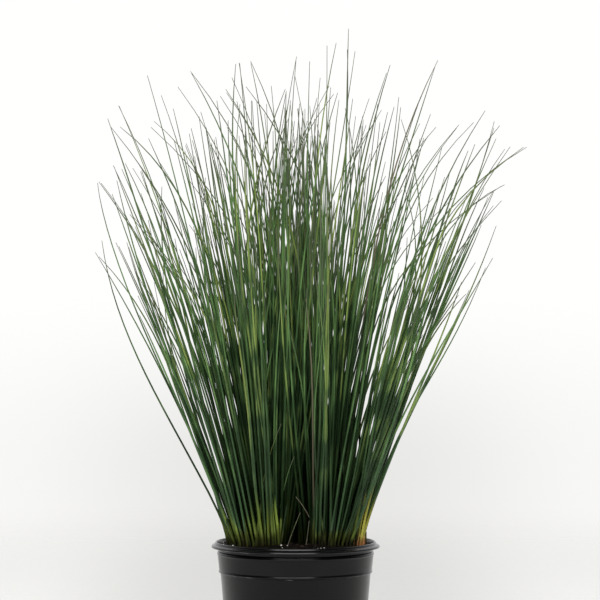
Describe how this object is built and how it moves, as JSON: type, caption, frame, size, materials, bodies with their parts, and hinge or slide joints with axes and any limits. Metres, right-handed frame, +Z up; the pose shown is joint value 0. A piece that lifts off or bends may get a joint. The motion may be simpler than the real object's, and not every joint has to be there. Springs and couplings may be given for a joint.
{
  "type": "potted rush clump",
  "caption": "A clump of slender, round, upright blue-green stems that fan out from the soil in a round black nursery pot with a rolled lip.",
  "frame": {"origin": "centre of the pot's flat base, on the ground", "axes": "+Z up along the pot's axis, -Y towards the viewer of the picture, +X to the viewer's right"},
  "size_m": [0.44, 0.3183, 0.677],
  "materials": {
    "pot": "satin black moulded plastic",
    "soil": "damp bark-based potting soil with a few white grains",
    "stems": "smooth blue-green stems, yellow-green at the foot and grey-brown at the point",
    "sheathed_stems": "yellow-green stems with orange-brown sheaths at the foot"
  },
  "bodies": {
    "root": {"back_tuft_01": "stems", "back_tuft_02": "stems", "back_tuft_03": "stems", "back_tuft_04": "stems", "back_tuft_05": "stems", "back_tuft_06": "stems", "back_tuft_07": "stems", "back_tuft_08": "stems", "back_tuft_09": "stems", "back_tuft_10": "stems", "back_tuft_11": "stems", "back_tuft_12": "stems", "left_tuft_01": "stems", "left_tuft_02": "stems", "left_tuft_03": "stems", "left_tuft_04": "stems", "left_tuft_05": "stems", "left_tuft_06": "stems", "left_tuft_07": "stems", "left_tuft_08": "stems", "left_tuft_09": "stems", "left_tuft_10": "stems", "left_tuft_11": "stems", "left_tuft_12": "stems", "left_tuft_13": "stems", "left_tuft_14": "stems", "left_tuft_15": "stems", "left_tuft_16": "stems", "left_tuft_17": "stems", "left_tuft_18": "stems", "pot": "pot", "right_tuft_01": "stems", "right_tuft_02": "stems", "right_tuft_03": "stems", "right_tuft_04": "stems", "right_tuft_05": "stems", "right_tuft_06": "stems", "right_tuft_07": "stems", "right_tuft_08": "stems", "right_tuft_09": "stems", "right_tuft_10": "stems", "right_tuft_11": "stems", "right_tuft_12": "stems", "right_tuft_13": "stems", "right_tuft_14": "stems", "right_tuft_15": "stems", "right_tuft_16": "stems", "right_tuft_17": "stems", "sheathed_tuft": "sheathed_stems", "soil": "soil"}
  },
  "joints": []
}
